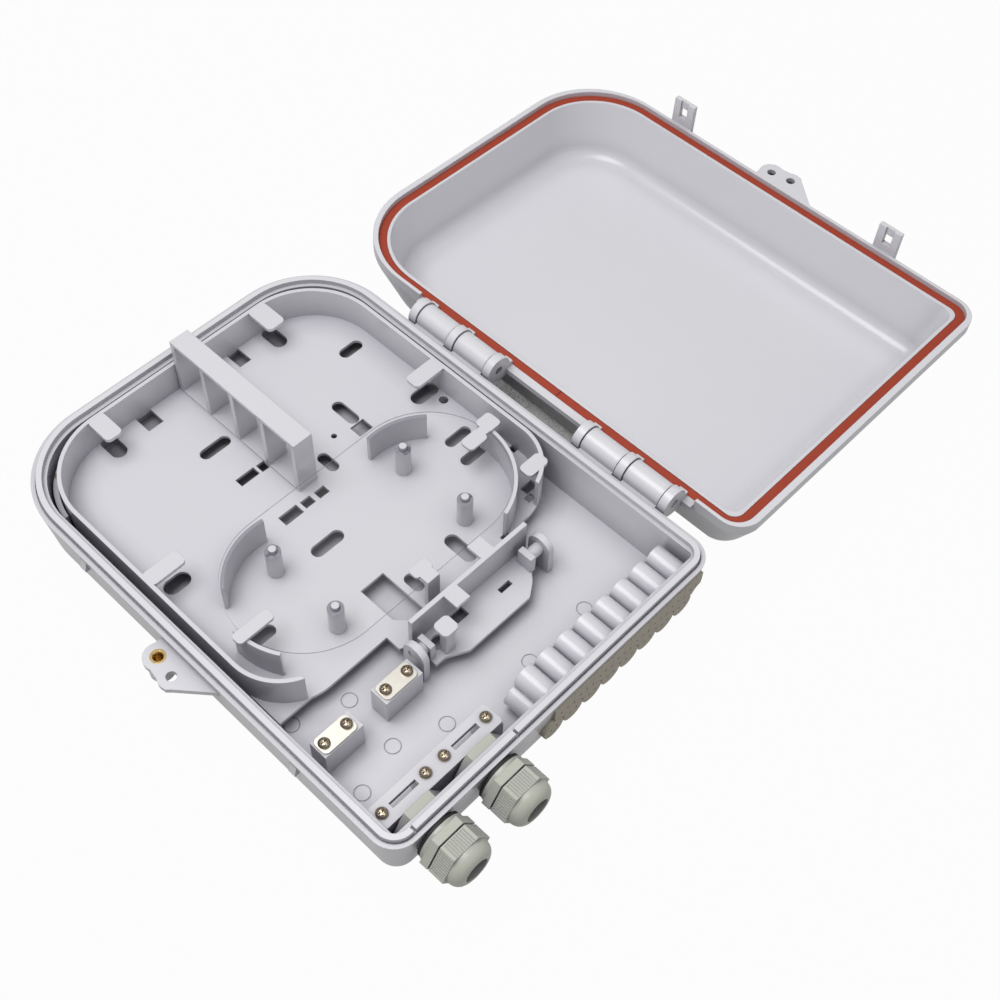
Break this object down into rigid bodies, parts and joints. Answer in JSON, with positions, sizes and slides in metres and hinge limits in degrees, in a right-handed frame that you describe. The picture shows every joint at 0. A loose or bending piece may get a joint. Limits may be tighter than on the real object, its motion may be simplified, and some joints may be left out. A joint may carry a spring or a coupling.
{
  "type": "fibre distribution wall box",
  "caption": "Flat plastic wall box with a hinged gasketed lid, flip-up splice tray, adapter holder, cable glands and staggered rows of drop cable ports.",
  "frame": {"origin": "centre of the flat back of the base housing, on the wall plane", "axes": "+Z away from the wall, +Y toward the rounded far end, -Y toward the glands, +X toward the hinge and the opened lid"},
  "size_m": [0.4871, 0.319, 0.068],
  "materials": {
    "housing_plastic": "semi-gloss moulded",
    "lid_plastic": "semi-gloss moulded",
    "tray_plastic": "semi-gloss moulded",
    "clear_cover": "clear moulded",
    "gasket_rubber": "matt",
    "seal_rubber": "matt",
    "grommet_rubber": "matt",
    "gland_nylon": "satin",
    "brass": "satin",
    "pin_steel": "satin",
    "nickel_plate": "satin nickel",
    "screw_metal": "bright nickel"
  },
  "bodies": {
    "housing": {"base_housing": "housing_plastic", "lock_lug": "housing_plastic", "hinge_pin_a": "pin_steel", "hinge_pin_b": "pin_steel", "lock_insert": "brass", "clamp_plate_1": "nickel_plate", "clamp_plate_2": "nickel_plate", "clamp_screws": "screw_metal", "tie_bar": "tray_plastic", "bar_screws": "screw_metal", "corner_plate": "tray_plastic", "corner_screw": "screw_metal", "grommets_upper": "grommet_rubber", "grommets_lower": "grommet_rubber", "splice_tray": "tray_plastic", "adapter_holder": "tray_plastic", "splice_cover": "clear_cover", "gland_1_washer": "seal_rubber", "gland_1_body": "gland_nylon", "gland_1_locknut": "gland_nylon", "gland_1_seal": "seal_rubber", "gland_2_washer": "seal_rubber", "gland_2_body": "gland_nylon", "gland_2_locknut": "gland_nylon", "gland_2_seal": "seal_rubber"},
    "lid": {"lid": "lid_plastic", "lid_gasket": "gasket_rubber"},
    "dome_1": {"gland_1_dome": "gland_nylon"},
    "dome_2": {"gland_2_dome": "gland_nylon"}
  },
  "joints": [
    {"name": "lid_hinge", "type": "hinge", "parent": "housing", "child": "lid", "pos_m": [0.1183, 0, 0.0313], "axis": [0, 1, 0], "range_deg": [-181.5, 0]},
    {"name": "dome_1_turn", "type": "hinge", "parent": "housing", "child": "dome_1", "pos_m": [-0.0837, -0.16, 0.018], "axis": [0, 1, 0], "continuous": true},
    {"name": "dome_2_turn", "type": "hinge", "parent": "housing", "child": "dome_2", "pos_m": [-0.045, -0.16, 0.018], "axis": [0, 1, 0], "continuous": true}
  ]
}
